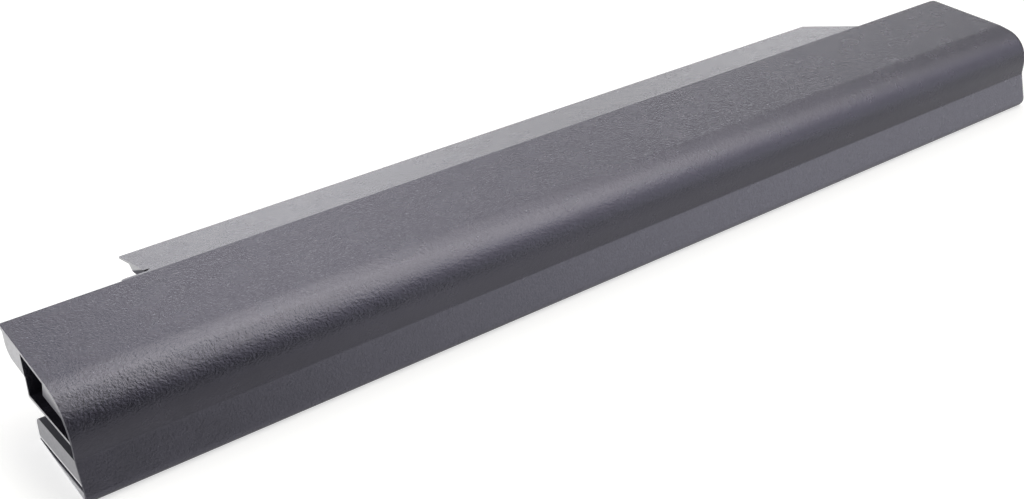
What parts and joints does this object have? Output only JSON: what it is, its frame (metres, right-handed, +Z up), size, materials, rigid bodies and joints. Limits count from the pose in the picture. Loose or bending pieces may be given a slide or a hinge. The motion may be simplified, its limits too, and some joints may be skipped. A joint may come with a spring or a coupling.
{
  "type": "laptop battery",
  "caption": "Long bar-shaped removable laptop battery with a rounded front, a thin rear part with a tapered tongue, a hooked open end and a row of round cells inside.",
  "frame": {"origin": "middle of the box round the battery, on the plane of its flat underside", "axes": "+X along the length from the hooked end to the rounded end, +Y from the curved front to the tongue, +Z up from the flat underside"},
  "size_m": [0.274, 0.0502, 0.0203],
  "materials": {
    "shell_plastic": "dark grey, fine moulded grain",
    "cover_plastic": "dark grey, fine moulded grain",
    "cell_steel": "drawn and nickel plated",
    "cell_wrap": "shrunk sleeve",
    "ring_fibre": "pressed fibre",
    "clear_tape": "double sided tape",
    "nickel": "rolled strip with weld spots",
    "pad_foam": "closed cell foam",
    "amber_film": "thin film",
    "board_laminate": "solder mask over glass laminate",
    "connector_plastic": "moulded, fine matt",
    "gold_plate": "gold plated",
    "black_resin": "moulded resin",
    "white_ceramic": "glazed body",
    "resistor_film": "glass coated film",
    "capacitor_ceramic": "fired body with tinned ends",
    "bead_resin": "dipped resin",
    "black_insulation": "soft wire insulation",
    "red_insulation": "soft wire insulation"
  },
  "bodies": {
    "root": {"upper_shell": "shell_plastic", "base_cover": "cover_plastic", "insulating_film": "amber_film", "circuit_board": "board_laminate", "connector_housing": "connector_plastic", "charge_switch": "black_resin", "discharge_switch": "black_resin", "gauge_chip": "black_resin", "protector_chip": "black_resin", "fuse": "white_ceramic", "sense_resistor": "resistor_film", "chip_resistors": "resistor_film", "capacitors": "capacitor_ceramic", "thermistor": "bead_resin", "negative_lead": "black_insulation", "positive_lead": "red_insulation", "negative_tab": "nickel", "positive_tab": "nickel", "end_pad_left": "pad_foam", "end_pad_right": "pad_foam", "board_tape_1": "pad_foam", "board_tape_2": "pad_foam", "cell_1": "cell_steel", "cell_sleeve_1": "cell_wrap", "insulator_ring_1": "ring_fibre", "cell_tape_1": "clear_tape", "cell_2": "cell_steel", "cell_sleeve_2": "cell_wrap", "insulator_ring_2": "ring_fibre", "cell_tape_2": "clear_tape", "cell_3": "cell_steel", "cell_sleeve_3": "cell_wrap", "insulator_ring_3": "ring_fibre", "cell_tape_3": "clear_tape", "cell_4": "cell_steel", "cell_sleeve_4": "cell_wrap", "insulator_ring_4": "ring_fibre", "cell_tape_4": "clear_tape", "cell_link_1": "nickel", "cell_link_2": "nickel", "cell_link_3": "nickel", "contact_1": "gold_plate", "contact_2": "gold_plate", "contact_3": "gold_plate", "contact_4": "gold_plate", "contact_5": "gold_plate", "contact_6": "gold_plate", "contact_7": "gold_plate"}
  },
  "joints": []
}
